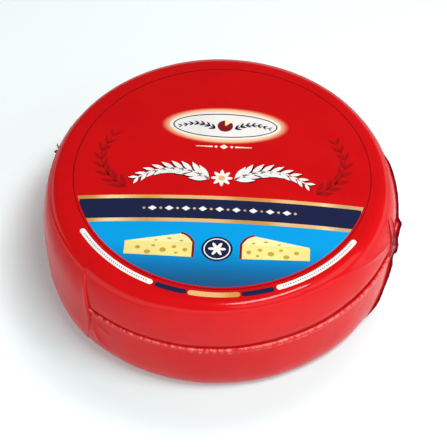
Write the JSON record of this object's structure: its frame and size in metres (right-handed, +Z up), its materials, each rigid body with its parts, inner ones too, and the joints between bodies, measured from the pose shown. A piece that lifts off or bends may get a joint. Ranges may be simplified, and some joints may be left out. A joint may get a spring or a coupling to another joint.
{
  "type": "cheese wheel",
  "caption": "Squat whole wheel of semi-hard cheese in tight red shrink film, with a flat top, bulging side, a waist seam all but round it, and gathered fins of film.",
  "frame": {"origin": "middle of the flat base", "axes": "+Z up through the middle of the wheel, -Y towards the reader of the label, +X to the reader's right"},
  "size_m": [0.2534, 0.2532, 0.092],
  "materials": {
    "red_film": "glossy printed shrink film",
    "label_print": "glossy print under clear film"
  },
  "bodies": {
    "root": {"cheese_wheel": "red_film"}
  },
  "joints": []
}
